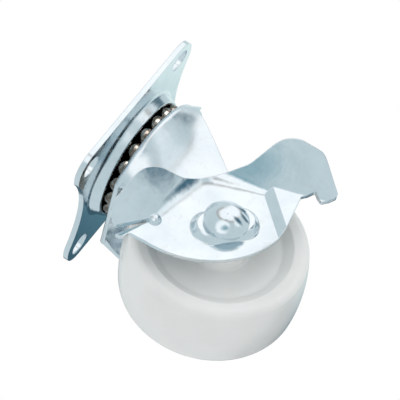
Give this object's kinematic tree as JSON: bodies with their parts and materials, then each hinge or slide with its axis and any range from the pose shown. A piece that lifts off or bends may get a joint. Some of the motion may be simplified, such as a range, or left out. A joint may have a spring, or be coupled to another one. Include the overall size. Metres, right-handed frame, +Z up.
{
  "type": "swivel plate castor",
  "caption": "Swivel castor with a square screw-on plate, ball race head, offset fork, white moulded wheel and side foot brake.",
  "frame": {"origin": "centre of the four screw holes on the plate's top face, on the swivel axis", "axes": "+Z up, out of the plate's top face; X and Y along the plate's sides; the wheel trails towards +X and the brake is on +Y, with the head turned 7.2 degrees from +X as in the picture"},
  "size_m": [0.0538, 0.0445, 0.0516],
  "materials": {
    "zinc_steel": "bright blue-white zinc plating on pressed steel",
    "bush_steel": "plain turned steel",
    "ball_steel": "polished steel balls in a film of dark grease",
    "white_nylon": "glossy, slightly milky white moulding"
  },
  "bodies": {
    "plate": {"top_plate": "zinc_steel", "king_rivet": "zinc_steel", "race_cup": "zinc_steel"},
    "head": {"fork": "zinc_steel", "axle_bush": "bush_steel", "axle_rivet": "zinc_steel", "axle_washer": "zinc_steel"},
    "wheel": {"wheel": "white_nylon"},
    "brake": {"brake_lever": "zinc_steel"},
    "outer_row": {"outer_ball_01": "ball_steel", "outer_ball_02": "ball_steel", "outer_ball_03": "ball_steel", "outer_ball_04": "ball_steel", "outer_ball_05": "ball_steel", "outer_ball_06": "ball_steel", "outer_ball_07": "ball_steel", "outer_ball_08": "ball_steel", "outer_ball_09": "ball_steel", "outer_ball_10": "ball_steel", "outer_ball_11": "ball_steel", "outer_ball_12": "ball_steel", "outer_ball_13": "ball_steel", "outer_ball_14": "ball_steel", "outer_ball_15": "ball_steel", "outer_ball_16": "ball_steel", "outer_ball_17": "ball_steel", "outer_ball_18": "ball_steel", "outer_ball_19": "ball_steel"},
    "inner_row": {"inner_ball_01": "ball_steel", "inner_ball_02": "ball_steel", "inner_ball_03": "ball_steel", "inner_ball_04": "ball_steel", "inner_ball_05": "ball_steel", "inner_ball_06": "ball_steel", "inner_ball_07": "ball_steel", "inner_ball_08": "ball_steel", "inner_ball_09": "ball_steel", "inner_ball_10": "ball_steel", "inner_ball_11": "ball_steel"}
  },
  "joints": [
    {"name": "swivel", "type": "hinge", "parent": "plate", "child": "head", "pos_m": [0, 0, 0], "axis": [0, 0, 1], "continuous": true},
    {"name": "outer_row_orbit", "type": "hinge", "parent": "plate", "child": "outer_row", "pos_m": [0, 0, 0], "axis": [0, 0, 1], "continuous": true},
    {"name": "inner_row_orbit", "type": "hinge", "parent": "plate", "child": "inner_row", "pos_m": [0, 0, 0], "axis": [0, 0, 1], "continuous": true},
    {"name": "wheel_spin", "type": "hinge", "parent": "head", "child": "wheel", "pos_m": [0.0126, 0.00159, -0.0316], "axis": [-0.1253, 0.9921, 0], "continuous": true},
    {"name": "brake_turn", "type": "hinge", "parent": "head", "child": "brake", "pos_m": [0.0126, 0.00159, -0.0316], "axis": [-0.1253, 0.9921, 0], "range_deg": [0, 30]}
  ],
  "couplings": [
    {"joint": "outer_row_orbit", "follows": "swivel", "ratio": 0.5},
    {"joint": "inner_row_orbit", "follows": "swivel", "ratio": 0.5}
  ]
}
